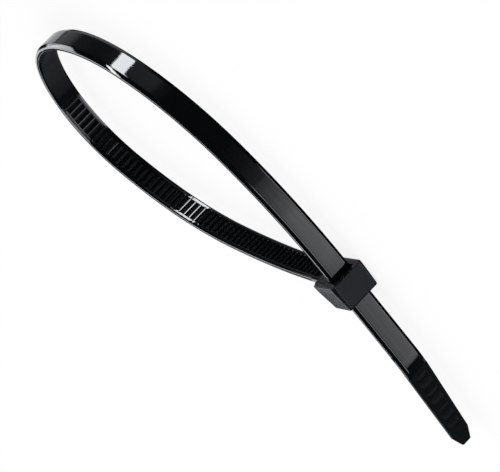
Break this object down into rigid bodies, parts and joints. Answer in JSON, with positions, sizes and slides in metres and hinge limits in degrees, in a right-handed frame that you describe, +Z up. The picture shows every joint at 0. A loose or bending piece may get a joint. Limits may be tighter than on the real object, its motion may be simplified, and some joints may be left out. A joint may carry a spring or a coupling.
{
  "type": "cable tie",
  "caption": "Closed one-piece cable tie: a flat strap with ladder teeth, looped through a head with a pawl, and a ribbed grip on its tail.",
  "frame": {"origin": "under the middle of the whole tie, on the surface that it lies on", "axes": "the tie lies on its side: +X from the free end to the round end of the loop, +Y from the free side of the loop to the side that starts at the head, +Z up across the width of the strap"},
  "size_m": [0.1054, 0.053, 0.0078],
  "materials": {
    "nylon": "glossy moulded black nylon, satin on the head"
  },
  "bodies": {
    "root": {"cable_tie": "nylon"}
  },
  "joints": []
}
